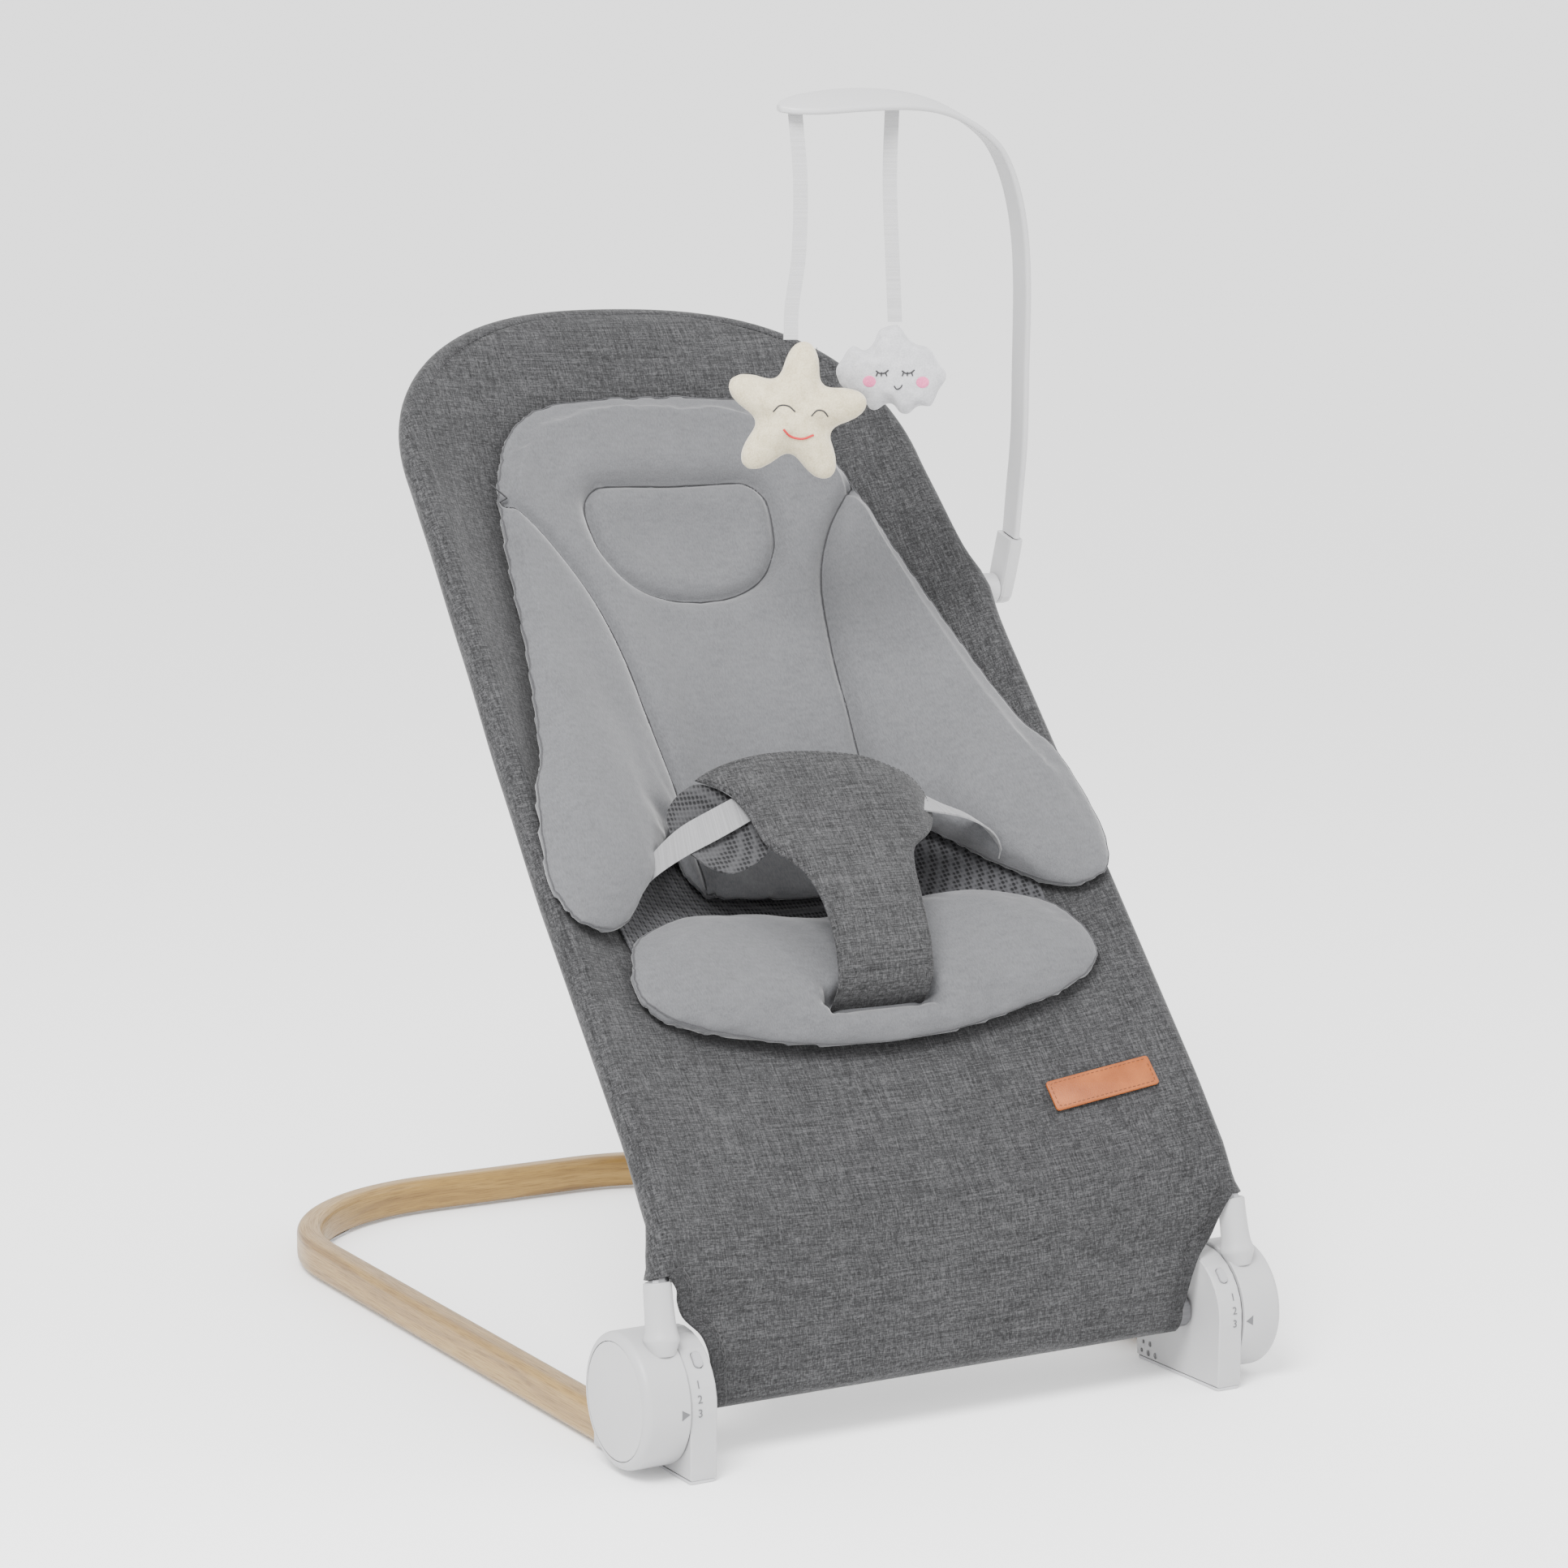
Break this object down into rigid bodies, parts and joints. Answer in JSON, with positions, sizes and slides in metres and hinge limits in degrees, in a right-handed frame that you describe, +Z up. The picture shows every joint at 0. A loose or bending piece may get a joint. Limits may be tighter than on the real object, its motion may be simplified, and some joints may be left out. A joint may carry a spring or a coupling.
{
  "type": "bouncer seat",
  "caption": "Reclining sling seat for a baby on a bent wood floor rail, with a padded insert, harness and hinged toy arch carrying soft toys.",
  "frame": {"origin": "middle of the footprint, on the floor", "axes": "+Z up; -Y towards the front, where the hubs are; +X to the right seen from the front, the side of the toy arch"},
  "size_m": [0.492, 0.734, 0.8814],
  "materials": {
    "hub_plastic": "matt light grey moulding",
    "button_plastic": "matt mid grey",
    "oak": "clear lacquered bent wood",
    "foot_rubber": "matt grey rubber",
    "steel_dark": "dark steel",
    "cover_weave": "dark grey melange weave",
    "mesh_knit": "dark spacer mesh",
    "jersey_grey": "fine light grey jersey",
    "harness_weave": "dark grey melange weave",
    "webbing": "light grey webbing",
    "tan_leather": "tan smooth leather",
    "arch_white": "satin white moulding",
    "ribbon_grey": "pale grey tape",
    "star_plush": "cream short pile",
    "cloud_plush": "white short pile"
  },
  "bodies": {
    "base": {"base_rail": "oak", "housing_left": "hub_plastic", "housing_right": "hub_plastic", "rail_socket_left": "hub_plastic", "rail_socket_right": "hub_plastic", "rail_dowel_left": "steel_dark", "rail_dowel_right": "steel_dark", "front_foot_left": "foot_rubber", "front_foot_right": "foot_rubber", "rear_foot_left": "foot_rubber", "rear_foot_right": "foot_rubber", "button_spring_left": "steel_dark", "button_spring_right": "steel_dark"},
    "seat": {"drum_left": "hub_plastic", "drum_right": "hub_plastic", "hub_cap_left": "hub_plastic", "hub_cap_right": "hub_plastic", "axle_left": "steel_dark", "axle_right": "steel_dark", "lock_ring_left": "steel_dark", "lock_ring_right": "steel_dark", "cross_bar": "steel_dark", "side_tube_left": "steel_dark", "side_tube_right": "steel_dark", "top_bow": "steel_dark", "seat_cover": "cover_weave", "mesh_panel": "mesh_knit", "insert_cushion": "jersey_grey", "head_pad": "jersey_grey", "seat_pad": "jersey_grey", "harness_pad": "harness_weave", "webbing_left": "webbing", "webbing_right": "webbing", "leather_tag": "tan_leather", "arch_clamp": "arch_white", "pivot_pin": "steel_dark"},
    "release_left": {"button_left": "button_plastic"},
    "release_right": {"button_right": "button_plastic"},
    "arch": {"arch_elbow": "arch_white", "toy_arch": "arch_white"},
    "star_toy": {"star_ribbon": "ribbon_grey", "plush_star": "star_plush"},
    "cloud_toy": {"cloud_ribbon": "ribbon_grey", "plush_cloud": "cloud_plush"}
  },
  "joints": [
    {"name": "recline", "type": "hinge", "parent": "base", "child": "seat", "pos_m": [0, -0.32225, 0.0485], "axis": [1, 0, 0], "range_deg": [-48, 0]},
    {"name": "press_left", "type": "slide", "parent": "base", "child": "release_left", "axis": [0, 0.729, -0.6845], "range_m": [0, 0.003], "stiffness_N_per_m": 600, "springref_m": -0.001, "deforming": ["button_spring_left"]},
    {"name": "press_right", "type": "slide", "parent": "base", "child": "release_right", "axis": [0, 0.729, -0.6845], "range_m": [0, 0.003], "stiffness_N_per_m": 600, "springref_m": -0.001, "deforming": ["button_spring_right"]},
    {"name": "arch_swing", "type": "hinge", "parent": "seat", "child": "arch", "pos_m": [0.24, -0.01175, 0.52], "axis": [1, 0, 0], "range_deg": [-35, 60]},
    {"name": "star_swing", "type": "hinge", "parent": "arch", "child": "star_toy", "pos_m": [0, -0.12255, 0.8605], "axis": [0.8695, -0.4939, 0], "range_deg": [-30, 1]},
    {"name": "cloud_swing", "type": "hinge", "parent": "arch", "child": "cloud_toy", "pos_m": [0.077, -0.12255, 0.8685], "axis": [0.8695, -0.4939, 0], "range_deg": [-1, 30]}
  ]
}
